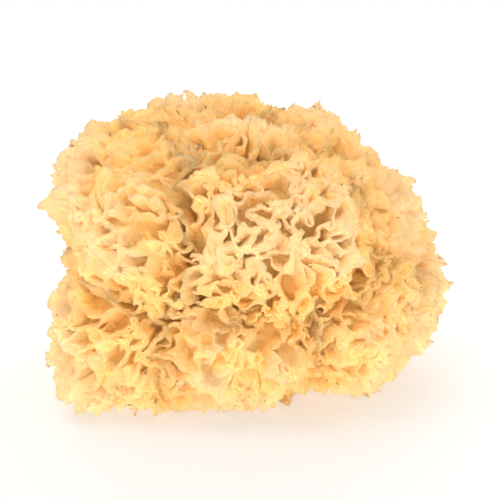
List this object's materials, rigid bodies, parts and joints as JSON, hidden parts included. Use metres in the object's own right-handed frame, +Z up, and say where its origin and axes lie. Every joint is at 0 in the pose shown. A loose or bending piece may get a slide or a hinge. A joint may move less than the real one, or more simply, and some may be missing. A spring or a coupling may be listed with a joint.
{
  "type": "dried snow fungus head",
  "caption": "Dried head of snow fungus: a tough foot, cut flat, that forks into crisp, pale, closely ruffled fronds packed into a rounded mound. Rests on its cut.",
  "frame": {"origin": "middle of the flat cut under the foot, on the surface that the head rests on", "axes": "+Z up through the head's top, -Y towards the viewer of the picture, +X to the viewer's right"},
  "size_m": [0.0932, 0.0888, 0.0679],
  "materials": {
    "foot_flesh": "matt, tough dried flesh, amber with darker folds and a paler fibrous cut",
    "frond_flesh": "thin crisp dried membrane, waxy matt, light passes through it; cream rims and golden depths"
  },
  "bodies": {
    "root": {"foot": "foot_flesh", "lower_frond_1": "frond_flesh", "lower_frond_2": "frond_flesh", "lower_frond_3": "frond_flesh", "lower_frond_4": "frond_flesh", "lower_frond_5": "frond_flesh", "lower_frond_6": "frond_flesh", "lower_frond_7": "frond_flesh", "middle_frond_1": "frond_flesh", "middle_frond_2": "frond_flesh", "middle_frond_3": "frond_flesh", "middle_frond_4": "frond_flesh", "middle_frond_5": "frond_flesh", "middle_frond_6": "frond_flesh", "top_frond_1": "frond_flesh", "top_frond_2": "frond_flesh", "top_frond_3": "frond_flesh"}
  },
  "joints": []
}
